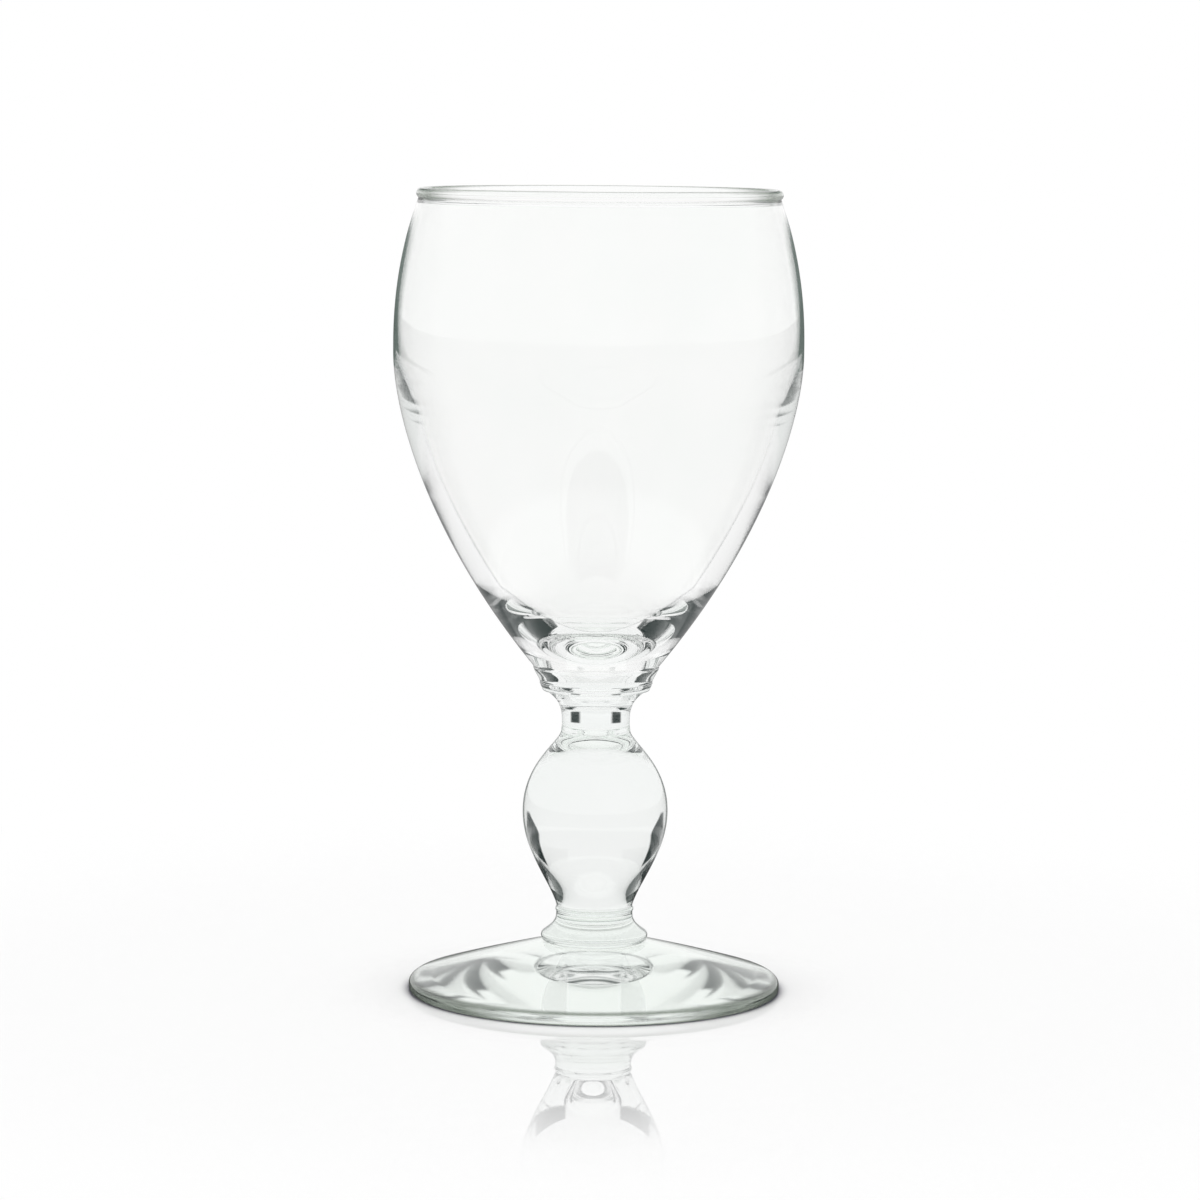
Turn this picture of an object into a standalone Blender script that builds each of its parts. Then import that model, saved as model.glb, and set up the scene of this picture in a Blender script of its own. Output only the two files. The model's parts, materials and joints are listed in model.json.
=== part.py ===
"""Short-stemmed goblet in clear glass, as five pieces of glass that were fused hot.

A blown bowl with a beaded rim sits on a ringed collar and neck, a baluster stem, a flared collar and a
spreading foot with a hollow underside. Units are metres, +Z is up, and the foot stands on z = 0.
"""

import math

import bmesh
import bpy

# Every seam: the clearance between two pieces that the real glass has fused
SEAM = 0.0003

# Foot
FOOT_RADIUS = 0.0317
FOOT_HEIGHT = 0.0083
FOOT_FALL = 17.5  # degrees below level, at the edge
FOOT_FALL_TOP = 15.0  # degrees below level, at the collar
FOOT_TOP_ROUND = 0.0010
FOOT_BOTTOM_ROUND = 0.0004
FOOT_SIDE = 0.0006  # upright stretch of the edge, between its two rounds
STANDING_RING = 0.0040
KICK_HEIGHT = 0.0012
KICK_ROUND = 0.0120

# Lower collar, from the foot to the stem
LOWER_COLLAR_RADIUS = 0.0091
LOWER_COLLAR_HEIGHT = 0.0057
LOWER_COLLAR_SEAM_RADIUS = 0.0086
LOWER_COLLAR_EDGE = 0.00075
LIP_ROUND = 0.0004
WAIST_RADIUS = 0.0064

# Baluster stem
STEM_HEIGHT = 0.0299
STEM_BELLY_RADIUS = 0.01237
STEM_BELLY_HEIGHT = 0.0162
STEM_BELLY_RISE = 0.0080
STEM_BELLY_FALL = 0.0069
STEM_BOTTOM_RADIUS = 0.00647
STEM_BOTTOM_LEAN = 17.7  # degrees from upright
STEM_BOTTOM_REACH = 0.0047
STEM_TOP_RADIUS = 0.00588
STEM_TOP_REACH = 0.0024

# Upper collar and neck, from the stem to the bowl
UPPER_COLLAR_HEIGHT = 0.01065
UPPER_RING_HEIGHT = 0.0025
LOWER_RING_HEIGHT = 0.0014
UPPER_RING_RADIUS = 0.0096
LOWER_RING_RADIUS = 0.0092
RING_GROOVE = 0.00016
RING_ROUND = 0.00035
NECK_RADIUS = 0.00575
NECK_HEIGHT = 0.0011  # from the seam up to the narrowest place

# Bowl
BOWL_HEIGHT = 0.08075
BOWL_SEAM_RADIUS = 0.0107
BELLY_RADIUS = 0.03464
BELLY_HEIGHT = 0.05325
BELLY_RISE = 0.0031
BELLY_FALL = 0.0099
BASE_LEAN = 39.3  # degrees from upright
BASE_REACH = 0.0291
RIM_RADIUS = 0.03087
RIM_BEAD = 0.0009
RIM_LEAN = 20.0  # degrees from upright
RIM_REACH = 0.0130
RIM_WALL = 0.00065
BELLY_WALL = 0.0008
LOWER_WALL = 0.0023
FLOOR_WALL = 0.0032
THICKEN_TOP = 0.0560  # the wall goes from thin to thick between these two heights
THICKEN_BOTTOM = 0.0370
CORNER_LEVEL = 0.0140  # below this height of the outside, the inside turns in to the floor
CORNER_REACH = 0.0040
FLOOR_THICKNESS = 0.0034
FLOOR_REACH = 0.0080

TURN_STEPS = 56
GLASS_INDEX = 1.52


def toward(point, angle, distance):
    """The point at this distance, along an angle in degrees that is 0 at +X and 90 at +Z."""
    turn = math.radians(angle)
    return point[0] + distance * math.cos(turn), point[1] + distance * math.sin(turn)


def arc(centre, radius, start, end, count):
    """Points on a circle from one angle in degrees to another, with both ends."""
    step = (end - start) / count
    return [toward(centre, start + step * i, radius) for i in range(count + 1)]


def sweep(start, start_handle, end_handle, end, count):
    """Points on a cubic Bezier curve, with both ends."""
    points = []
    for i in range(count + 1):
        t = i / count
        s = 1 - t
        weights = (s**3, 3 * s * s * t, 3 * s * t * t, t**3)
        corners = (start, start_handle, end_handle, end)
        radius = sum(w * c[0] for w, c in zip(weights, corners))
        height = sum(w * c[1] for w, c in zip(weights, corners))
        points.append((radius, height))
    return points


def angle_from(centre, point):
    return math.degrees(math.atan2(point[1] - centre[1], point[0] - centre[0]))


def without_repeats(points):
    kept = points[:1]
    for point in points[1:]:
        if math.dist(point, kept[-1]) > 1e-6:
            kept.append(point)
    return kept


def glass_material(name, colour):
    material = bpy.data.materials.new(name)
    material.use_nodes = True
    shader = material.node_tree.nodes["Principled BSDF"]
    shader.inputs["Base Color"].default_value = (*colour, 1.0)
    shader.inputs["Roughness"].default_value = 0.02
    shader.inputs["Metallic"].default_value = 0.0
    shader.inputs["IOR"].default_value = GLASS_INDEX
    shader.inputs["Transmission Weight"].default_value = 1.0
    return material


def turned(name, outline, height, colour, collection, parent):
    """A solid turned about +Z from an outline that runs down its outer side, axis to axis."""
    mesh = bpy.data.meshes.new(name)
    profile = bmesh.new()
    corners = [profile.verts.new((radius, 0.0, z)) for radius, z in without_repeats(outline)]
    for upper, lower in zip(corners, corners[1:]):
        profile.edges.new((upper, lower))
    profile.to_mesh(mesh)
    profile.free()
    mesh.materials.append(glass_material(name + "_glass", colour))
    piece = bpy.data.objects.new(name, mesh)
    piece.location = (0.0, 0.0, height)
    piece.parent = parent
    collection.objects.link(piece)
    screw = piece.modifiers.new("Turn", "SCREW")
    screw.axis = "Z"
    screw.angle = math.tau
    screw.steps = TURN_STEPS
    screw.render_steps = TURN_STEPS
    screw.use_merge_vertices = True
    screw.merge_threshold = 0.00001
    screw.use_smooth_shade = True
    return piece


def foot_outline():
    side_top = FOOT_BOTTOM_ROUND + FOOT_SIDE
    top_centre = (FOOT_RADIUS - FOOT_TOP_ROUND, side_top)
    bottom_centre = (FOOT_RADIUS - FOOT_BOTTOM_ROUND, FOOT_BOTTOM_ROUND)
    ring_inside = (FOOT_RADIUS - FOOT_BOTTOM_ROUND - STANDING_RING, 0.0)
    collar_end = (LOWER_COLLAR_SEAM_RADIUS, FOOT_HEIGHT)
    edge = arc(top_centre, FOOT_TOP_ROUND, 90 - FOOT_FALL, 0, 4)
    reach = math.dist(collar_end, edge[0]) / 3
    top = sweep(
        collar_end,
        toward(collar_end, -FOOT_FALL_TOP, reach),
        toward(edge[0], 180 - FOOT_FALL, reach),
        edge[0],
        6,
    )
    underside = sweep(
        ring_inside,
        ((KICK_ROUND + ring_inside[0]) / 2, KICK_HEIGHT / 2),
        (KICK_ROUND, KICK_HEIGHT),
        (0.0, KICK_HEIGHT),
        7,
    )
    return [(0.0, FOOT_HEIGHT)] + top + edge + arc(bottom_centre, FOOT_BOTTOM_ROUND, 0, -90, 2) + underside


def lower_collar_outline():
    edge_centre = (LOWER_COLLAR_RADIUS - LOWER_COLLAR_EDGE, LOWER_COLLAR_EDGE)
    edge = arc(edge_centre, LOWER_COLLAR_EDGE, 55, -60, 5)
    lip_centre = (STEM_BOTTOM_RADIUS - LIP_ROUND / 2, LOWER_COLLAR_HEIGHT - LIP_ROUND)
    lip = arc(lip_centre, LIP_ROUND, 60, -55, 4)
    waist = (WAIST_RADIUS, (lip[-1][1] + edge[0][1]) / 2)
    drop = (lip[-1][1] - edge[0][1]) / 2
    flare = sweep(lip[-1], waist, toward(edge[0], 145, drop), edge[0], 6)
    top = [(0.0, LOWER_COLLAR_HEIGHT), (lip[0][0], LOWER_COLLAR_HEIGHT)]
    return top + lip + flare + edge + [(LOWER_COLLAR_SEAM_RADIUS, 0.0), (0.0, 0.0)]


def stem_outline():
    top = (STEM_TOP_RADIUS, STEM_HEIGHT)
    belly = (STEM_BELLY_RADIUS, STEM_BELLY_HEIGHT)
    bottom = (STEM_BOTTOM_RADIUS, 0.0)
    shoulder = sweep(top, toward(top, -90, STEM_TOP_REACH), toward(belly, 90, STEM_BELLY_RISE), belly, 9)
    taper_end = toward(bottom, 90 - STEM_BOTTOM_LEAN, STEM_BOTTOM_REACH)
    taper = sweep(belly, toward(belly, -90, STEM_BELLY_FALL), taper_end, bottom, 8)
    return [(0.0, STEM_HEIGHT)] + shoulder + taper + [(0.0, 0.0)]


def upper_collar_outline():
    top = (BOWL_SEAM_RADIUS, UPPER_COLLAR_HEIGHT)
    groove_height = UPPER_COLLAR_HEIGHT - UPPER_RING_HEIGHT
    ring_bottom = (UPPER_RING_RADIUS, groove_height + RING_GROOVE)
    groove = (UPPER_RING_RADIUS - RING_GROOVE, groove_height)
    lower_top = (UPPER_RING_RADIUS, groove_height - RING_GROOVE)
    round_centre = (LOWER_RING_RADIUS - RING_ROUND, groove_height - LOWER_RING_HEIGHT + RING_ROUND)
    ring_round = arc(round_centre, RING_ROUND, 0, -125, 3)
    neck = (NECK_RADIUS, NECK_HEIGHT)
    drop = ring_round[-1][1] - NECK_HEIGHT
    band = sweep(
        top,
        toward(top, -105, UPPER_RING_HEIGHT / 3),
        toward(ring_bottom, 75, UPPER_RING_HEIGHT / 3),
        ring_bottom,
        4,
    )
    under = sweep(
        ring_round[-1],
        toward(ring_round[-1], -145, drop / 2),
        toward(neck, 90, drop / 2),
        neck,
        8,
    )
    return [(0.0, UPPER_COLLAR_HEIGHT)] + band + [groove, lower_top] + ring_round + under + [
        (STEM_TOP_RADIUS, 0.0),
        (0.0, 0.0),
    ]


def share(value, start, end):
    """How far a value has come from start to end, from 0 to 1."""
    return min(1.0, max(0.0, (value - start) / (end - start)))


def wall_at(height):
    """The thickness of the bowl's wall at a height of its outside."""
    upper = RIM_WALL + (BELLY_WALL - RIM_WALL) * share(height, BOWL_HEIGHT, BELLY_HEIGHT)
    lower = LOWER_WALL + (FLOOR_WALL - LOWER_WALL) * share(height, THICKEN_BOTTOM, CORNER_LEVEL)
    turn = share(height, THICKEN_TOP, THICKEN_BOTTOM)
    return upper + (lower - upper) * turn * turn * (3 - 2 * turn)


def inside_of(outside):
    """The inner side of the bowl's wall, from an outer side that runs down, as far as the floor's corner."""
    points = []
    for before, point, after in zip(outside, outside[1:], outside[2:]):
        if point[1] < CORNER_LEVEL:
            break
        wall = wall_at(point[1]) / math.dist(before, after)
        radius = point[0] + wall * (after[1] - before[1])
        height = point[1] - wall * (after[0] - before[0])
        points.append((radius, height))
    return points


def bowl_outline():
    bead = (RIM_RADIUS - RIM_BEAD, BOWL_HEIGHT - RIM_BEAD)
    down = RIM_LEAN - 90
    wall_top = toward(bead, down, math.sqrt(RIM_BEAD**2 - (RIM_WALL / 2) ** 2))
    outer_top = toward(wall_top, down + 90, RIM_WALL / 2)
    inner_top = toward(wall_top, down - 90, RIM_WALL / 2)
    belly = (BELLY_RADIUS, BELLY_HEIGHT)
    base = (BOWL_SEAM_RADIUS, 0.0)
    floor = (0.0, FLOOR_THICKNESS)

    outside_high = sweep(
        outer_top,
        toward(outer_top, down, RIM_REACH),
        toward(belly, 90, BELLY_RISE),
        belly,
        7,
    )
    outside_low = sweep(
        belly,
        toward(belly, -90, BELLY_FALL),
        toward(base, 90 - BASE_LEAN, BASE_REACH),
        base,
        13,
    )
    outside = outside_high + outside_low[1:]
    inside = [inner_top] + inside_of(outside)
    corner = inside[-1]
    corner_handle = toward(corner, angle_from(inside[-2], corner), CORNER_REACH)
    inside_floor = sweep(floor, toward(floor, 0, FLOOR_REACH), corner_handle, corner, 8)
    inner_turn = angle_from(bead, inner_top) + 360
    lip = arc(bead, RIM_BEAD, inner_turn, angle_from(bead, outer_top), 9)
    return inside_floor + inside[-2::-1] + lip + outside + [(0.0, 0.0)]


def main():
    for old in list(bpy.data.objects):
        bpy.data.objects.remove(old, do_unlink=True)
    collection = bpy.data.collections.new("goblet")
    bpy.context.scene.collection.children.link(collection)
    stand = bpy.data.objects.new("goblet_origin", None)
    collection.objects.link(stand)

    pieces = (
        ("foot", foot_outline(), FOOT_HEIGHT, (0.90, 0.96, 0.93)),
        ("lower_collar", lower_collar_outline(), LOWER_COLLAR_HEIGHT, (0.92, 0.97, 0.95)),
        ("baluster_stem", stem_outline(), STEM_HEIGHT, (0.93, 0.97, 0.95)),
        ("upper_collar", upper_collar_outline(), UPPER_COLLAR_HEIGHT, (0.92, 0.97, 0.95)),
        ("bowl", bowl_outline(), BOWL_HEIGHT, (0.96, 0.99, 0.98)),
    )
    height = 0.0
    for name, outline, own_height, colour in pieces:
        turned(name, outline, height, colour, collection, stand)
        height += own_height + SEAM


main()
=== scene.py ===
"""Looks of the short-stemmed goblet: five fused pieces of clear glass, in front of a white field.

Each piece of glass replaces its CAD node and reaches to the middle of its seams, where the hot glass has
run together. Units are metres and degrees, +Z is up, and the foot stands on z = 0.

Dark cards about the glass's axis give it its dark bands and lines. The camera doesn't see the cards, and
each is met only by some of the light, told apart by how often the glass has refracted it (Transmission
Depth) and reflected it (Glossy Depth), how far it has come (Ray Length) and how it slants (Layer Weight).
Its dark outlines are painted shade as well: the glass's tint and its reflections' tint go dark at grazing
slants.
"""

import json
import math
from collections import namedtuple

import bpy
from mathutils import Matrix

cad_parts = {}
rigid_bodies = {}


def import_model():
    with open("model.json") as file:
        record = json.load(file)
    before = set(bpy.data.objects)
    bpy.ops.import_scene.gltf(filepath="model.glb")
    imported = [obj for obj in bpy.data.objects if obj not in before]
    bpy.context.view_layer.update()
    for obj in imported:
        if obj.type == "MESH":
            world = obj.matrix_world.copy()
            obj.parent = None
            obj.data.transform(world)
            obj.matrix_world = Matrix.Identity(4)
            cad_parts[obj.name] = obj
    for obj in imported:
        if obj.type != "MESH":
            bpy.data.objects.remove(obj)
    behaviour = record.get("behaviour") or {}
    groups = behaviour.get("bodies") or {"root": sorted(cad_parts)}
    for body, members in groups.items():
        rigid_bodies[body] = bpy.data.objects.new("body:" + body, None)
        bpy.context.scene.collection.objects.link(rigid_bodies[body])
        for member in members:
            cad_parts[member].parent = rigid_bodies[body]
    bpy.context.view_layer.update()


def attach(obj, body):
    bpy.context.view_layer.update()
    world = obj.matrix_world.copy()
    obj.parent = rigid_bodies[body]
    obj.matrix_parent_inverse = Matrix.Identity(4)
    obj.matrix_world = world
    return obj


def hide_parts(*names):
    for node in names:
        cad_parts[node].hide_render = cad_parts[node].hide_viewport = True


for old in list(bpy.data.objects):
    bpy.data.objects.remove(old, do_unlink=True)
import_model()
scene = bpy.context.scene

# Sizes that are the CAD part's
SEAM = 0.0003
FOOT_RADIUS = 0.0317
FOOT_HEIGHT = 0.0083
FOOT_FALL = 17.5
FOOT_FALL_TOP = 15.0
FOOT_TOP_ROUND = 0.0010
FOOT_BOTTOM_ROUND = 0.0004
FOOT_SIDE = 0.0006
STANDING_RING = 0.0040
KICK_HEIGHT = 0.0012
KICK_ROUND = 0.0120
LOWER_COLLAR_RADIUS = 0.0091
LOWER_COLLAR_HEIGHT = 0.0057
LOWER_COLLAR_SEAM_RADIUS = 0.0086
LOWER_COLLAR_EDGE = 0.00075
LOWER_COLLAR_EDGE_TURN = (55, -60)
LIP_ROUND = 0.0004
LIP_TURN = (60, -55)
WAIST_RADIUS = 0.0064
FLARE_LEAN = 145
STEM_HEIGHT = 0.0299
STEM_BELLY_RADIUS = 0.01237
STEM_BELLY_HEIGHT = 0.0162
STEM_BELLY_RISE = 0.0080
STEM_BELLY_FALL = 0.0069
STEM_BOTTOM_RADIUS = 0.00647
STEM_BOTTOM_LEAN = 17.7
STEM_BOTTOM_REACH = 0.0047
STEM_TOP_RADIUS = 0.00588
UPPER_COLLAR_HEIGHT = 0.01065
UPPER_RING_HEIGHT = 0.0025
UPPER_RING_LEAN = 15
LOWER_RING_HEIGHT = 0.0014
UPPER_RING_RADIUS = 0.0096
LOWER_RING_RADIUS = 0.0092
RING_GROOVE = 0.00016
RING_ROUND = 0.00035
RING_ROUND_TURN = (0, -125)
RING_UNDER_LEAN = -145
NECK_RADIUS = 0.00575
NECK_HEIGHT = 0.0011
BOWL_HEIGHT = 0.08075
BOWL_SEAM_RADIUS = 0.0107
BELLY_RADIUS = 0.03464
BELLY_HEIGHT = 0.05325
BELLY_RISE = 0.0031
BELLY_FALL = 0.0099
BASE_LEAN = 39.3
BASE_REACH = 0.0291
RIM_RADIUS = 0.03087
RIM_BEAD = 0.0009
RIM_LEAN = 20.0
RIM_REACH = 0.0130
FLOOR_WALL = 0.0032
CORNER_LEVEL = 0.0140
CORNER_REACH = 0.0040
FLOOR_THICKNESS = 0.0034
FLOOR_REACH = 0.0080

# Sizes that refine it: the neck leans into the stem, and a thinner wall thickens along a smoother curve
STEM_TOP_LEAN = 10.0
STEM_TOP_REACH = 0.0021
RIM_WALL = 0.00045
BELLY_WALL = 0.00058
LOWER_WALL = 0.00220
THICKEN_LEVEL = 0.0460
THICKEN_SPREAD = 0.0036

# How finely the pieces are turned, and the half of a seam that a piece reaches into
TURN_STEPS = 192
FINE = 6
HALF_SEAM = SEAM / 2 - 0.000005
SAME_POINT = 1e-7
ON_AXIS = 1e-9


def toward(point, angle, distance):
    turn = math.radians(angle)
    return point[0] + distance * math.cos(turn), point[1] + distance * math.sin(turn)


def arc(centre, radius, start, end, count):
    step = (end - start) / count
    return [toward(centre, start + step * i, radius) for i in range(count + 1)]


def sweep(start, start_handle, end_handle, end, count):
    points = []
    for i in range(count + 1):
        t = i / count
        s = 1 - t
        weights = (s**3, 3 * s * s * t, 3 * s * t * t, t**3)
        corners = (start, start_handle, end_handle, end)
        points.append(tuple(sum(w * c[axis] for w, c in zip(weights, corners)) for axis in (0, 1)))
    return points


def angle_from(centre, point):
    return math.degrees(math.atan2(point[1] - centre[1], point[0] - centre[0]))


def share(value, start, end):
    return min(1.0, max(0.0, (value - start) / (end - start)))


def foot_outline():
    top_centre = (FOOT_RADIUS - FOOT_TOP_ROUND, FOOT_BOTTOM_ROUND + FOOT_SIDE)
    bottom_centre = (FOOT_RADIUS - FOOT_BOTTOM_ROUND, FOOT_BOTTOM_ROUND)
    ring_inside = (FOOT_RADIUS - FOOT_BOTTOM_ROUND - STANDING_RING, 0.0)
    collar_end = (LOWER_COLLAR_SEAM_RADIUS, FOOT_HEIGHT)
    edge = arc(top_centre, FOOT_TOP_ROUND, 90 - FOOT_FALL, 0, 4 * FINE)
    reach = math.dist(collar_end, edge[0]) / 3
    top = sweep(
        collar_end,
        toward(collar_end, -FOOT_FALL_TOP, reach),
        toward(edge[0], 180 - FOOT_FALL, reach),
        edge[0],
        6 * FINE,
    )
    underside = sweep(
        ring_inside,
        ((KICK_ROUND + ring_inside[0]) / 2, KICK_HEIGHT / 2),
        (KICK_ROUND, KICK_HEIGHT),
        (0.0, KICK_HEIGHT),
        7 * FINE,
    )
    bottom = arc(bottom_centre, FOOT_BOTTOM_ROUND, 0, -90, 2 * FINE)
    seam = [(0.0, FOOT_HEIGHT + HALF_SEAM), (LOWER_COLLAR_SEAM_RADIUS, FOOT_HEIGHT + HALF_SEAM)]
    return seam + top + edge + bottom + underside


def lower_collar_outline():
    edge_centre = (LOWER_COLLAR_RADIUS - LOWER_COLLAR_EDGE, LOWER_COLLAR_EDGE)
    edge = arc(edge_centre, LOWER_COLLAR_EDGE, *LOWER_COLLAR_EDGE_TURN, 4 * FINE)
    lip_centre = (STEM_BOTTOM_RADIUS - LIP_ROUND / 2, LOWER_COLLAR_HEIGHT - LIP_ROUND)
    lip = arc(lip_centre, LIP_ROUND, *LIP_TURN, 3 * FINE)
    waist = (WAIST_RADIUS, (lip[-1][1] + edge[0][1]) / 2)
    drop = (lip[-1][1] - edge[0][1]) / 2
    flare = sweep(lip[-1], waist, toward(edge[0], FLARE_LEAN, drop), edge[0], 6 * FINE)
    top = LOWER_COLLAR_HEIGHT + HALF_SEAM
    seam_top = [(0.0, top), (lip[0][0], top)]
    seam_bottom = [(LOWER_COLLAR_SEAM_RADIUS, -HALF_SEAM), (0.0, -HALF_SEAM)]
    return seam_top + lip + flare + edge + seam_bottom


def stem_outline():
    top = (STEM_TOP_RADIUS, STEM_HEIGHT)
    belly = (STEM_BELLY_RADIUS, STEM_BELLY_HEIGHT)
    bottom = (STEM_BOTTOM_RADIUS, 0.0)
    shoulder_start = toward(top, STEM_TOP_LEAN - 90, STEM_TOP_REACH)
    shoulder = sweep(top, shoulder_start, toward(belly, 90, STEM_BELLY_RISE), belly, 10 * FINE)
    taper_end = toward(bottom, 90 - STEM_BOTTOM_LEAN, STEM_BOTTOM_REACH)
    taper = sweep(belly, toward(belly, -90, STEM_BELLY_FALL), taper_end, bottom, 8 * FINE)
    seam_top = [(0.0, STEM_HEIGHT + HALF_SEAM), (STEM_TOP_RADIUS, STEM_HEIGHT + HALF_SEAM)]
    seam_bottom = [(STEM_BOTTOM_RADIUS, -HALF_SEAM), (0.0, -HALF_SEAM)]
    return seam_top + shoulder + taper + seam_bottom


def upper_collar_outline():
    top = (BOWL_SEAM_RADIUS, UPPER_COLLAR_HEIGHT)
    groove_height = UPPER_COLLAR_HEIGHT - UPPER_RING_HEIGHT
    ring_bottom = (UPPER_RING_RADIUS, groove_height + RING_GROOVE)
    groove = (UPPER_RING_RADIUS - RING_GROOVE, groove_height)
    lower_top = (UPPER_RING_RADIUS, groove_height - RING_GROOVE)
    round_centre = (LOWER_RING_RADIUS - RING_ROUND, groove_height - LOWER_RING_HEIGHT + RING_ROUND)
    ring_round = arc(round_centre, RING_ROUND, *RING_ROUND_TURN, 2 * FINE)
    neck = (NECK_RADIUS, NECK_HEIGHT)
    end = (STEM_TOP_RADIUS, 0.0)
    drop = ring_round[-1][1] - NECK_HEIGHT
    ring = sweep(
        top,
        toward(top, -90 - UPPER_RING_LEAN, UPPER_RING_HEIGHT / 3),
        toward(ring_bottom, 90 - UPPER_RING_LEAN, UPPER_RING_HEIGHT / 3),
        ring_bottom,
        4 * FINE,
    )
    underside = sweep(
        ring_round[-1],
        toward(ring_round[-1], RING_UNDER_LEAN, drop / 2),
        toward(neck, 90, drop / 2),
        neck,
        8 * FINE,
    )
    flow = sweep(
        neck,
        toward(neck, -90, NECK_HEIGHT / 3),
        toward(end, 90 + STEM_TOP_LEAN, NECK_HEIGHT / 3),
        end,
        FINE,
    )
    high = UPPER_COLLAR_HEIGHT + HALF_SEAM
    seam_top = [(0.0, high), (BOWL_SEAM_RADIUS, high)]
    seam_bottom = [(STEM_TOP_RADIUS, -HALF_SEAM), (0.0, -HALF_SEAM)]
    return seam_top + ring + [groove, lower_top] + ring_round + underside + flow + seam_bottom


def wall_at(height):
    upper = RIM_WALL + (BELLY_WALL - RIM_WALL) * share(height, BOWL_HEIGHT, BELLY_HEIGHT)
    lower = LOWER_WALL + (FLOOR_WALL - LOWER_WALL) * share(height, THICKEN_LEVEL, CORNER_LEVEL)
    return upper + (lower - upper) / (1 + math.exp((height - THICKEN_LEVEL) / THICKEN_SPREAD))


def inside_of(outside):
    points = []
    for before, point, after in zip(outside, outside[1:], outside[2:]):
        if point[1] < CORNER_LEVEL:
            break
        wall = wall_at(point[1]) / math.dist(before, after)
        inward = wall * (after[1] - before[1])
        upward = -wall * (after[0] - before[0])
        points.append((point[0] + inward, point[1] + upward))
    return points


def bowl_outside():
    """The bead's centre, the top of the wall's inner side, and the outer side from rim to seam."""
    bead = (RIM_RADIUS - RIM_BEAD, BOWL_HEIGHT - RIM_BEAD)
    down = RIM_LEAN - 90
    wall_top = toward(bead, down, math.sqrt(RIM_BEAD**2 - (RIM_WALL / 2) ** 2))
    inner_top = toward(wall_top, down - 90, RIM_WALL / 2)
    outer_top = toward(wall_top, down + 90, RIM_WALL / 2)
    belly = (BELLY_RADIUS, BELLY_HEIGHT)
    base = (BOWL_SEAM_RADIUS, 0.0)
    high_start = toward(outer_top, down, RIM_REACH)
    high = sweep(outer_top, high_start, toward(belly, 90, BELLY_RISE), belly, 7 * FINE)
    low_end = toward(base, 90 - BASE_LEAN, BASE_REACH)
    low = sweep(belly, toward(belly, -90, BELLY_FALL), low_end, base, 22 * FINE)
    return bead, inner_top, high + low[1:]


def bowl_outline():
    bead, inner_top, outside = bowl_outside()
    floor = (0.0, FLOOR_THICKNESS)
    inside = [inner_top] + inside_of(outside)
    corner = inside[-1]
    corner_handle = toward(corner, angle_from(inside[-2], corner), CORNER_REACH)
    inside_floor = sweep(floor, toward(floor, 0, FLOOR_REACH), corner_handle, corner, 8 * FINE)
    lip_start = angle_from(bead, inner_top) + 360
    lip = arc(bead, RIM_BEAD, lip_start, angle_from(bead, outside[0]), 6 * FINE)
    seam = [(BOWL_SEAM_RADIUS, -HALF_SEAM), (0.0, -HALF_SEAM)]
    return inside_floor + inside[-2::-1] + lip + outside + seam


def math_node(tree, operation, *values):
    node = tree.nodes.new("ShaderNodeMath")
    node.operation = operation
    for socket, value in zip(node.inputs, values):
        if isinstance(value, (int, float)):
            socket.default_value = value
        else:
            tree.links.new(value, socket)
    return node.outputs[0]


def chain(tree, operation, first, *others):
    for other in others:
        first = math_node(tree, operation, first, other)
    return first


def product(tree, *values):
    return chain(tree, "MULTIPLY", *values)


def total(tree, *values):
    return chain(tree, "ADD", *values)


def highest(tree, *values):
    return chain(tree, "MAXIMUM", *values)


def less(tree, value, part):
    return math_node(tree, "SUBTRACT", value, part)


def at_least(tree, depth, count):
    return math_node(tree, "GREATER_THAN", depth, count - 0.5)


def at_most(tree, depth, count):
    return math_node(tree, "LESS_THAN", depth, count + 0.5)


def exactly(tree, depth, count):
    return product(tree, at_least(tree, depth, count), at_most(tree, depth, count))


def ramp(tree, value, start, end, low=0.0, high=1.0):
    node = tree.nodes.new("ShaderNodeMapRange")
    node.interpolation_type = "SMOOTHSTEP"
    for name, number in (("From Min", start), ("From Max", end), ("To Min", low), ("To Max", high)):
        node.inputs[name].default_value = number
    tree.links.new(value, node.inputs["Value"])
    return node.outputs["Result"]


def band(tree, value, start, full, fade, end):
    return product(tree, ramp(tree, value, start, full), ramp(tree, value, fade, end, 1.0, 0.0))


def slant(tree, normal=None):
    """How light meets a surface, or the given normal: 0 square on, 1 grazing."""
    node = tree.nodes.new("ShaderNodeLayerWeight")
    node.inputs["Blend"].default_value = 0.5
    if normal is not None:
        tree.links.new(normal, node.inputs["Normal"])
    return node.outputs["Facing"]


def object_place(tree):
    return tree.nodes.new("ShaderNodeTexCoord").outputs["Object"]


def parts_of(tree, vector):
    node = tree.nodes.new("ShaderNodeSeparateXYZ")
    tree.links.new(vector, node.inputs[0])
    return node.outputs


def length_of(tree, vector):
    node = tree.nodes.new("ShaderNodeVectorMath")
    node.operation = "LENGTH"
    tree.links.new(vector, node.inputs[0])
    return node.outputs["Value"]


def colour_mix(tree, factor, first, second):
    node = tree.nodes.new("ShaderNodeMix")
    node.data_type = "RGBA"
    tree.links.new(factor, node.inputs["Factor"])
    for name, value in (("A", first), ("B", second)):
        if isinstance(value, tuple):
            node.inputs[name].default_value = (*value, 1.0)
        else:
            tree.links.new(value, node.inputs[name])
    return node.outputs["Result"]


def shader_mix(tree, factor, first, second):
    node = tree.nodes.new("ShaderNodeMixShader")
    for socket, value in zip(node.inputs, (factor, first.outputs[0], second.outputs[0])):
        tree.links.new(value, socket)
    return node


def noise(tree, place, scale, detail):
    node = tree.nodes.new("ShaderNodeTexNoise")
    node.inputs["Scale"].default_value = scale
    node.inputs["Detail"].default_value = detail
    tree.links.new(place, node.inputs["Vector"])
    return node.outputs["Fac"]


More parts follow.
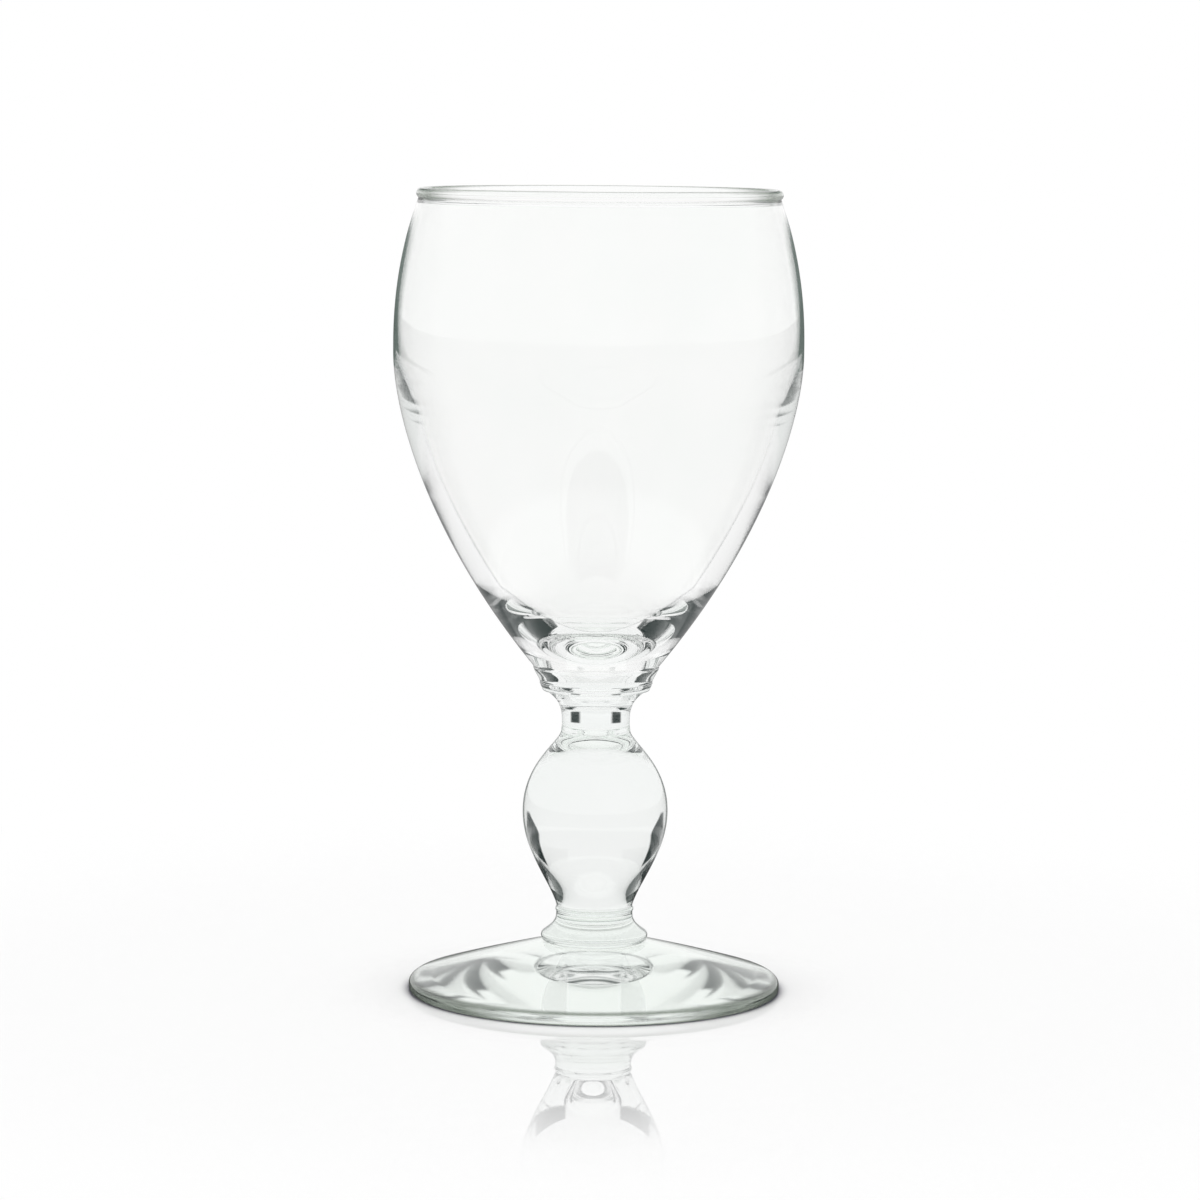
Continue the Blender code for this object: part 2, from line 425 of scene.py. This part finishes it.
def bare_material(name):
    """A material with nothing on its output yet, its node tree and that output."""
    material = bpy.data.materials.new(name)
    material.use_nodes = True
    tree = material.node_tree
    tree.nodes.remove(tree.nodes["Principled BSDF"])
    return material, tree, tree.nodes["Material Output"].inputs["Surface"]


# The glass: its index, the noise that its tint and its waves follow (scale, detail), the painted shade that
# turns its edges dark at grazing angles, its tint where it is looked through the long way, and the foot's
# finer polish towards its edge
GLASS_INDEX = 1.52
DRIFT_NOISE = (55.0, 2.0)
DRIFT = (0.3, 0.7)
WAVE_NOISE = (70.0, 1.0)
PAINTED_EDGE_SHADE = (0.05, 0.066, 0.058)
LONG_WAY_TINT = (0.16, 0.19, 0.155)
FINER_FROM = (0.0270, 0.0295)
FINER_ROUGHNESS = 0.02

# A piece's node, slot, outline and height; its two tints, its waves' depth, its gloss and the slants at which
# its painted edge shade starts. Then what only some have: a roughness, a long way through the glass, and how
# much sooner the painted edge shade starts low down. A long way is (the axes that count, from and to their
# length, from and to a slant)
Piece = namedtuple(
    "Piece",
    "node slot outline height pale deep wave gloss grazing rough long_way sooner",
    defaults=(0.0, None, None),
)


def glass(name, look):
    """Clear glass whose tint drifts a little, with the slow waves of a hand-worked surface."""
    material = bpy.data.materials.new(name)
    material.use_nodes = True
    tree = material.node_tree
    shader = tree.nodes["Principled BSDF"]
    shader.inputs["Transmission Weight"].default_value = 1.0
    shader.inputs["IOR"].default_value = GLASS_INDEX
    shader.inputs["Roughness"].default_value = look.rough
    place = object_place(tree)
    drift = ramp(tree, noise(tree, place, *DRIFT_NOISE), *DRIFT)
    tint = colour_mix(tree, drift, look.pale, look.deep)
    facing = slant(tree)
    leaning = facing
    if look.sooner:
        leaning = total(tree, facing, ramp(tree, parts_of(tree, place)["Z"], *look.sooner))
    # Painted shade: past these slants the glass's tint and its reflections' tint go near black, drawing dark
    # outlines
    grazing = ramp(tree, leaning, *look.grazing)
    if look.long_way:
        axes, reach, aslant = look.long_way
        kept = tree.nodes.new("ShaderNodeVectorMath")
        kept.operation = "MULTIPLY"
        kept.inputs[1].default_value = axes
        tree.links.new(place, kept.inputs[0])
        distance = length_of(tree, kept.outputs[0])
        if look.rough:
            finer = ramp(tree, distance, *FINER_FROM, look.rough, FINER_ROUGHNESS)
            tree.links.new(finer, shader.inputs["Roughness"])
        along = product(tree, ramp(tree, distance, *reach), ramp(tree, facing, *aslant))
        tint = colour_mix(tree, along, tint, LONG_WAY_TINT)
    # Painted edge shade on the tint and on the reflections' tint
    tree.links.new(colour_mix(tree, grazing, tint, PAINTED_EDGE_SHADE), shader.inputs["Base Color"])
    tree.links.new(colour_mix(tree, grazing, look.gloss, PAINTED_EDGE_SHADE), shader.inputs["Specular Tint"])
    bump = tree.nodes.new("ShaderNodeBump")
    bump.inputs["Strength"].default_value = 1.0
    bump.inputs["Distance"].default_value = look.wave
    tree.links.new(noise(tree, place, *WAVE_NOISE), bump.inputs["Height"])
    tree.links.new(bump.outputs["Normal"], shader.inputs["Normal"])
    return material


def fused():
    """The face where two pieces have run together, which can't be seen."""
    material, tree, surface = bare_material("fused_seam")
    clear = tree.nodes.new("ShaderNodeBsdfTransparent")
    tree.links.new(clear.outputs[0], surface)
    return material


def turned(name, outline, height, materials):
    """A closed piece turned from an outline that runs from axis to axis, down its outer side.

    Its flat ends at the seams take the second material.
    """
    path = outline[:1]
    for point in outline[1:]:
        if math.dist(point, path[-1]) > SAME_POINT:
            path.append(point)
    rings = []
    points = []
    for radius, z in path:
        if radius < ON_AXIS:
            rings.append([len(points)])
            points.append((0.0, 0.0, z + height))
            continue
        rings.append(list(range(len(points), len(points) + TURN_STEPS)))
        for i in range(TURN_STEPS):
            turn = math.tau * i / TURN_STEPS
            points.append((radius * math.cos(turn), radius * math.sin(turn), z + height))
    faces = []
    seams = []
    sharp = set()
    for index, (upper, lower) in enumerate(zip(rings, rings[1:])):
        level = path[index][1] == path[index + 1][1] and 1 in (len(upper), len(lower))
        if level:
            sharp.update(upper if len(lower) == 1 else lower)
        for i in range(TURN_STEPS):
            j = (i + 1) % TURN_STEPS
            if len(upper) == 1:
                faces.append((upper[0], lower[i], lower[j]))
            elif len(lower) == 1:
                faces.append((upper[i], lower[0], upper[j]))
            else:
                faces.append((upper[i], lower[i], lower[j], upper[j]))
            seams.append(int(level))
    mesh = bpy.data.meshes.new(name)
    mesh.from_pydata(points, [], faces)
    mesh.polygons.foreach_set("material_index", seams)
    mesh.polygons.foreach_set("use_smooth", [True] * len(faces))
    for edge in mesh.edges:
        edge.use_edge_sharp = edge.vertices[0] in sharp and edge.vertices[1] in sharp
    mesh.update()
    for material in materials:
        mesh.materials.append(material)
    piece = bpy.data.objects.new(name, mesh)
    scene.collection.objects.link(piece)
    return piece


PIECES = (
    Piece(
        node="foot",
        slot="foot_glass",
        outline=foot_outline(),
        height=FOOT_HEIGHT,
        pale=(0.925, 0.962, 0.93),
        deep=(0.89, 0.945, 0.90),
        wave=0.000010,
        gloss=(0.93, 0.96, 0.945),
        grazing=(0.955, 0.985),
        rough=0.05,
        long_way=((1.0, 1.0, 0.0), (0.0300, 0.0310), (0.03, 0.30)),
    ),
    Piece(
        node="lower_collar",
        slot="lower_collar_glass",
        outline=lower_collar_outline(),
        height=LOWER_COLLAR_HEIGHT,
        pale=(0.87, 0.905, 0.88),
        deep=(0.84, 0.885, 0.86),
        wave=0.000004,
        gloss=(0.96, 0.98, 0.97),
        grazing=(0.74, 0.80),
    ),
    Piece(
        node="baluster_stem",
        slot="stem_glass",
        outline=stem_outline(),
        height=STEM_HEIGHT,
        pale=(0.915, 0.93, 0.92),
        deep=(0.885, 0.91, 0.895),
        wave=0.000006,
        gloss=(0.98, 0.99, 0.985),
        grazing=(0.76, 0.82),
    ),
    Piece(
        node="upper_collar",
        slot="upper_collar_glass",
        outline=upper_collar_outline(),
        height=UPPER_COLLAR_HEIGHT,
        pale=(0.93, 0.95, 0.94),
        deep=(0.90, 0.93, 0.915),
        wave=0.000004,
        gloss=(0.96, 0.98, 0.97),
        grazing=(0.88, 0.97),
    ),
    Piece(
        node="bowl",
        slot="bowl_glass",
        outline=bowl_outline(),
        height=BOWL_HEIGHT,
        pale=(0.985, 0.988, 0.983),
        deep=(0.972, 0.98, 0.973),
        wave=0.000008,
        gloss=(0.88, 0.93, 0.91),
        grazing=(0.90, 0.998),
        long_way=((0.0, 0.0, 1.0), (0.1343, 0.1347), (0.35, 0.70)),
        sooner=(0.076, 0.098, 0.08, 0.0),
    ),
)
SEAM_FACE = fused()
piece_base = 0.0
for look in PIECES:
    clear = glass(look.node + "_clear", look)
    piece = turned(look.node + "_glass", look.outline, piece_base, (clear, SEAM_FACE))
    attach(piece, "root")
    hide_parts(look.node)
    piece_base += look.height + SEAM


# The table. Ranges are (from, to) or (from, to, value before, value after), in metres from the axis unless
# a comment says otherwise
TABLE_HALF = 6
TABLE_LEVEL = -2e-5
WHITE = (1.0, 1.0, 1.0)
CONTACT_REACH = 0.0025
CONTACT_OPEN = (0.45, 0.95)  # share of open air
# Colour of the painted contact shadow
PAINTED_CONTACT_SHADOW = (0.14, 0.13, 0.17)
# Painted dark reflection: the table's colour to light that the glass reflects before it enters, and where
# that holds
PAINTED_DARK_REFLECTION = (0.10, 0.10, 0.10)
DARK_REFLECTION_NEAR = (0.075, 0.100, 1.0, 0.0)  # length of the ray
DARK_REFLECTION_FAR = (0.095, 0.120, 0.0, 0.8)
MIRROR_NEAR = (0.034, 0.046, 0.15, 0.55)
MIRROR_END = (0.055, 0.150, 1.0, 0.0)
BRIGHT_BEYOND = (0.030, 0.045)
# Painted light: under the foot, where the glass's shadow falls, the table glows to light in the glass, fully
# near the axis
PAINTED_LIGHT_UNDER_FOOT = (0.009, 0.012, 1.0, 0.35)
BRIGHT_REFLECTED = 0.8
FIELD = (0.080, 0.200)


def floor_material():
    """White table top: it mirrors the glass faintly for the eye, and is bright to light in the glass, with
    painted light under the foot where the glass's shadow falls.

    It has a painted contact shadow where the foot touches it, and is painted dark to light that glances off
    the glass without entering, which darkens the glass's outer reflections.
    """
    material, tree, surface = bare_material("white_table")
    path = tree.nodes.new("ShaderNodeLightPath").outputs
    seen = path["Is Camera Ray"]
    away = length_of(tree, object_place(tree))
    # Painted contact shadow: for the eye, the table's colour goes dark where the foot shuts out the open air
    contact = tree.nodes.new("ShaderNodeAmbientOcclusion")
    contact.inputs["Distance"].default_value = CONTACT_REACH
    open_air = highest(tree, ramp(tree, contact.outputs["AO"], *CONTACT_OPEN), less(tree, 1.0, seen))
    shade = colour_mix(tree, open_air, PAINTED_CONTACT_SHADOW, WHITE)
    # Painted dark reflection: near the glass, the table goes dark to light reflected off the glass's outside,
    # which darkens those reflections
    painted_dark_reflection = product(
        tree,
        at_least(tree, path["Glossy Depth"], 1),
        at_most(tree, path["Transmission Depth"], 0),
        highest(tree, ramp(tree, path["Ray Length"], *DARK_REFLECTION_NEAR), ramp(tree, away, *DARK_REFLECTION_FAR)),
    )
    white = tree.nodes.new("ShaderNodeBsdfDiffuse")
    tree.links.new(colour_mix(tree, painted_dark_reflection, shade, PAINTED_DARK_REFLECTION), white.inputs["Color"])
    mirror = tree.nodes.new("ShaderNodeBsdfAnisotropic")
    mirror.inputs["Color"].default_value = (*WHITE, 1.0)
    mirror.inputs["Roughness"].default_value = 0.0
    mirrors = product(tree, ramp(tree, away, *MIRROR_NEAR), ramp(tree, away, *MIRROR_END), seen)
    glow = tree.nodes.new("ShaderNodeEmission")
    glow.inputs["Color"].default_value = (*WHITE, 1.0)
    glows = highest(
        tree,
        ramp(tree, away, *BRIGHT_BEYOND),
        # Painted light under the foot
        ramp(tree, away, *PAINTED_LIGHT_UNDER_FOOT),
        at_least(tree, path["Transmission Depth"], 3),
        product(tree, at_least(tree, path["Glossy Depth"], 1), BRIGHT_REFLECTED),
    )
    in_glass = highest(tree, path["Is Glossy Ray"], path["Is Transmission Ray"])
    glows = product(tree, in_glass, glows, less(tree, 1.0, painted_dark_reflection))
    glows = highest(tree, glows, product(tree, ramp(tree, away, *FIELD), seen))
    finish = shader_mix(tree, glows, shader_mix(tree, mirrors, white, mirror), glow)
    tree.links.new(finish.outputs[0], surface)
    return material


def stage_piece(name, points, faces, material):
    mesh = bpy.data.meshes.new(name)
    mesh.from_pydata(points, [], faces)
    mesh.materials.append(material)
    thing = bpy.data.objects.new(name, mesh)
    scene.collection.objects.link(thing)
    return thing


table_corners = [
    (x * TABLE_HALF, y * TABLE_HALF, TABLE_LEVEL) for x, y in ((-1, -1), (1, -1), (1, 1), (-1, 1))
]
stage_piece("table", table_corners, [(0, 1, 2, 3)], floor_material())

# The cards. Ranges are (from, to), (from, to, value before, value after) or bands (from, full, fade, to).
# HEIGHT is in metres above the table, SLANT as slant() gives it, ANGLE in degrees from straight behind
CARD_STEPS = 180
DARK = (0.010, 0.022, 0.021)

EDGE_CARD = (0.045, 0.079, 0.200)  # radius, low and high
EDGE_RAY = 0.037  # longest way from the wall beside the card
EDGE_STEEP_HEIGHT = 0.1045
EDGE_STEEP = 10.0
EDGE_STEEP_MOST = 0.03
EDGE_MILD_HEIGHT = 0.1015
EDGE_MILD = 2.2
EDGE_LEAN_HEIGHT = (0.107, 0.143, 0.0, 0.062)
EDGE_INSIDE_HEIGHT = (0.103, 0.108, 0.0, 0.014)
EDGE_OUTSIDE_HEIGHT = (0.1035, 0.1085, 0.0, 0.1)
EDGE_INSIDE_SLANT = (0.311, 0.331)
EDGE_OUTSIDE_SLANT = (0.339, 0.349, 1.0, 0.0)
EDGE_FEW = (15.0, 23.0, 1.0, 0.0)  # reflections
EDGE_ANY_HEIGHT = (0.106, 0.111)
EDGE_LINE_HEIGHT = (0.0985, 0.1025)
EDGE_GLOSS_HEIGHT = (0.098, 0.107, 0.0, 0.9)
EDGE_LED_SLANT = (0.23, 0.25)
EDGE_LED_HEIGHT = (0.103, 0.108, 1.0, 0.0)
EDGE_LED_COLOUR = (0.9, 0.92, 0.91)
EDGE_COLOUR_HEIGHT = (0.096, 0.104)
EDGE_LOW_COLOUR = (0.03, 0.042, 0.038)
EDGE_HIGH_COLOUR = (0.13, 0.165, 0.15)

SIDE_CARD = (0.180, 0.002, 0.202)
SIDE_TURN = 1.5  # degrees
SIDE_NEAR_ANGLE = (33.0, 36.0, 110.0, 130.0)
SIDE_LATER_HEIGHT = (0.038, 0.046, 0.084, 0.096)
SIDE_LATER = 13.0  # degrees
SIDE_FAR_ANGLE = (70.0, 80.0, 120.0, 135.0)
SIDE_FAR_HEIGHT = (0.026, 0.036, 0.082, 0.092)
SIDE_SLOPE_ANGLE = 60.0
SIDE_SLOPE = 0.0015  # metres to the degree
SIDE_HEIGHT = (0.004, 0.009, 0.170, 0.200)

STEM_CARD = (0.038, 0.002, 0.104)
STEM_BENT_INSIDE = ((0.026, 0.031, 0.0110, 0.0094), (0.031, 0.044, 0.0, -0.0018))  # by height
STEM_BENT_SOFT = (-0.0002, 0.0002)
STEM_BENT_OUTSIDE = (0.0113, 0.0117, 1.0, 0.0)  # off the axis
STEM_BENT_HEIGHT = (0.0255, 0.0268, 0.0440, 0.0460)
STEM_BENT_SLANT = (0.14, 0.16, 1.0, 0.0)
STEM_NECK = (0.0024, 0.0030, 0.0040, 0.0044)  # off the axis
STEM_NECK_HEIGHT = (0.0390, 0.0415, 0.0550, 0.0600)
STEM_NECK_SLANT = (0.08, 0.10, 1.0, 0.0)
STEM_BACK = (0.0044, 0.0048, 0.0092, 0.0098)  # off the axis
STEM_BACK_HEIGHT = (0.0440, 0.0480, 0.0980, 0.1020)
STEM_BACK_SLANT = (0.12, 0.16)
STEM_BACK_RAY = 0.034  # shortest way from the glass

FRONT_CARD = (0.700, 0.002, 2.300)
FRONT_ANGLE = (115, 150)
FRONT_LOW_HEIGHT = (0.010, 0.060)
FRONT_HIGH_HEIGHT = (0.600, 0.700)


def edge_light(tree, path, place):
    """Light that the bowl's first wall has turned back meets this card aslant, seen from any side.

    The card is dark high up, and white where the thick wall has led the light around.
    """
    height = place["Z"]
    met = product(
        tree,
        at_least(tree, path["Glossy Depth"], 1),
        at_most(tree, path["Transmission Depth"], 2),
        math_node(tree, "LESS_THAN", path["Ray Length"], EDGE_RAY),
    )
    facing = slant(tree)
    steep = product(tree, highest(tree, less(tree, EDGE_STEEP_HEIGHT, height), 0.0), EDGE_STEEP)
    mild = product(tree, highest(tree, less(tree, EDGE_MILD_HEIGHT, height), 0.0), EDGE_MILD)
    lean = total(
        tree,
        facing,
        math_node(tree, "MINIMUM", steep, EDGE_STEEP_MOST),
        mild,
        ramp(tree, height, *EDGE_LEAN_HEIGHT),
    )
    inside = less(tree, lean, ramp(tree, height, *EDGE_INSIDE_HEIGHT))
    outside = less(tree, lean, ramp(tree, height, *EDGE_OUTSIDE_HEIGHT))
    few = ramp(tree, path["Glossy Depth"], *EDGE_FEW)
    entered = at_least(tree, path["Transmission Depth"], 1)
    line = product(
        tree,
        ramp(tree, inside, *EDGE_INSIDE_SLANT),
        ramp(tree, outside, *EDGE_OUTSIDE_SLANT),
        highest(tree, ramp(tree, height, *EDGE_ANY_HEIGHT), few),
        ramp(tree, height, *EDGE_LINE_HEIGHT),
        highest(tree, entered, ramp(tree, height, *EDGE_GLOSS_HEIGHT)),
    )
    led = product(
        tree,
        entered,
        at_least(tree, path["Glossy Depth"], 2),
        ramp(tree, facing, *EDGE_LED_SLANT),
        ramp(tree, height, *EDGE_LED_HEIGHT),
    )
    by_height = ramp(tree, height, *EDGE_COLOUR_HEIGHT)
    dark = colour_mix(tree, by_height, EDGE_LOW_COLOUR, EDGE_HIGH_COLOUR)
    darkness = highest(tree, line, less(tree, 1.0, led))
    colour = colour_mix(tree, darkness, EDGE_LED_COLOUR, dark)
    return product(tree, met, highest(tree, line, led)), colour


def side_light(tree, path, place):
    """Light that the thick glass has turned back more than once meets this card, dark at both sides."""
    height = place["Z"]
    behind = math_node(tree, "ARCTAN2", place["X"], place["Y"])
    turn = product(tree, behind, math.degrees(1.0))
    aside = math_node(tree, "ABSOLUTE", total(tree, turn, SIDE_TURN))
    folded = math_node(tree, "MINIMUM", aside, less(tree, 180.0, aside))
    later = product(tree, band(tree, height, *SIDE_LATER_HEIGHT), SIDE_LATER)
    near = band(tree, less(tree, aside, later), *SIDE_NEAR_ANGLE)
    far = product(tree, band(tree, aside, *SIDE_FAR_ANGLE), band(tree, height, *SIDE_FAR_HEIGHT))
    slope = product(tree, less(tree, SIDE_SLOPE_ANGLE, folded), SIDE_SLOPE)
    level = less(tree, height, highest(tree, slope, 0.0))
    met = product(
        tree,
        at_least(tree, path["Transmission Depth"], 1),
        at_least(tree, path["Glossy Depth"], 2),
        highest(tree, near, far),
        band(tree, level, *SIDE_HEIGHT),
    )
    return met, None


def stem_light(tree, path, place):
    """Light that the sides of the stem and the neck have bent meets this card, from whichever side it comes.

    Turned glass keeps a ray's distance from the axis, which shows in how far the ray runs along the card.
    """
    height = place["Z"]
    radius = STEM_CARD[0]
    through = exactly(tree, path["Transmission Depth"], 2)
    straight = product(tree, through, at_most(tree, path["Glossy Depth"], 0))
    once = product(tree, through, exactly(tree, path["Glossy Depth"], 1))
    around = tree.nodes.new("ShaderNodeCombineXYZ")
    tree.links.new(product(tree, place["Y"], -1.0 / radius), around.inputs["X"])
    tree.links.new(product(tree, place["X"], 1.0 / radius), around.inputs["Y"])
    off_axis = product(tree, less(tree, 1.0, slant(tree, around.outputs[0])), radius)
    facing = slant(tree)
    bent_inside = total(tree, *(ramp(tree, height, *part) for part in STEM_BENT_INSIDE))
    bent = product(
        tree,
        straight,
        ramp(tree, less(tree, off_axis, bent_inside), *STEM_BENT_SOFT),
        ramp(tree, off_axis, *STEM_BENT_OUTSIDE),
        band(tree, height, *STEM_BENT_HEIGHT),
        ramp(tree, facing, *STEM_BENT_SLANT),
    )
    neck = product(
        tree,
        straight,
        band(tree, off_axis, *STEM_NECK),
        band(tree, height, *STEM_NECK_HEIGHT),
        ramp(tree, facing, *STEM_NECK_SLANT),
    )
    back = product(
        tree,
        once,
        band(tree, off_axis, *STEM_BACK),
        band(tree, height, *STEM_BACK_HEIGHT),
        ramp(tree, facing, *STEM_BACK_SLANT),
        math_node(tree, "GREATER_THAN", path["Ray Length"], STEM_BACK_RAY),
    )
    return highest(tree, back, bent, neck), None


def front_light(tree, path, place):
    """Light that the glass has turned back meets this card, dark in front and, to one turn, only high up."""
    height = place["Z"]
    aside = math_node(tree, "ABSOLUTE", math_node(tree, "ARCTAN2", place["X"], place["Y"]))
    again = at_least(tree, path["Glossy Depth"], 2)
    low = product(tree, ramp(tree, height, *FRONT_LOW_HEIGHT), again)
    met = product(
        tree,
        at_least(tree, path["Glossy Depth"], 1),
        exactly(tree, path["Transmission Depth"], 2),
        ramp(tree, aside, *map(math.radians, FRONT_ANGLE)),
        highest(tree, low, ramp(tree, height, *FRONT_HIGH_HEIGHT)),
    )
    return met, None


def card_material(name, light):
    """Dark card, clear to all but the light that meets it."""
    material, tree, surface = bare_material(name)
    path = tree.nodes.new("ShaderNodeLightPath").outputs
    met, colour = light(tree, path, parts_of(tree, object_place(tree)))
    met = product(tree, met, at_most(tree, path["Diffuse Depth"], 0))
    dark = tree.nodes.new("ShaderNodeEmission")
    dark.inputs["Color"].default_value = (*DARK, 1.0)
    if colour is not None:
        tree.links.new(colour, dark.inputs["Color"])
    clear = tree.nodes.new("ShaderNodeBsdfTransparent")
    tree.links.new(shader_mix(tree, met, clear, dark).outputs[0], surface)
    return material


def card(name, radius, low, high, light):
    """A round card about the glass's axis, which the camera doesn't see."""
    circle = arc((0.0, 0.0), radius, 270, -90, CARD_STEPS)
    points = [(x, y, z) for z in (low, high) for x, y in circle]
    faces = [(i, i + 1, i + CARD_STEPS + 2, i + CARD_STEPS + 1) for i in range(CARD_STEPS)]
    thing = stage_piece(name, points, faces, card_material(name, light))
    thing.data.polygons.foreach_set("use_smooth", [True] * CARD_STEPS)
    thing.visible_camera = False
    thing.visible_diffuse = False
    thing.visible_shadow = False


card("edge_card", *EDGE_CARD, edge_light)
card("side_card", *SIDE_CARD, side_light)
card("stem_card", *STEM_CARD, stem_light)
card("front_card", *FRONT_CARD, front_light)

world = bpy.data.worlds.new("studio")
scene.world = world
world.use_nodes = True
world.node_tree.nodes["Background"].inputs["Color"].default_value = (*WHITE, 1.0)

# The camera, fitted to the ellipses of the rim and the foot
CAMERA_PLACE = (0.0, -0.7313, 0.15015)
CAMERA_TILT = 6.4926
CAMERA_ROLL = 0.45
CAMERA_LENS = 130.06
CAMERA_SENSOR = 36.0
CAMERA_SHIFT = 0.0027
CAMERA_CLIP = 0.01

camera_data = bpy.data.cameras.new("camera")
camera_data.sensor_width = CAMERA_SENSOR
camera_data.lens = CAMERA_LENS
camera_data.shift_x = CAMERA_SHIFT
camera_data.clip_start = CAMERA_CLIP
camera = bpy.data.objects.new("camera", camera_data)
scene.collection.objects.link(camera)
camera.matrix_world = (
    Matrix.Translation(CAMERA_PLACE)
    @ Matrix.Rotation(math.radians(90 - CAMERA_TILT), 4, "X")
    @ Matrix.Rotation(math.radians(CAMERA_ROLL), 4, "Z")
)
scene.camera = camera

scene.view_settings.view_transform = "Standard"
scene.cycles.max_bounces = 128
scene.cycles.transmission_bounces = 48
scene.cycles.glossy_bounces = 128
scene.cycles.transparent_max_bounces = 32

bpy.context.view_layer.update()
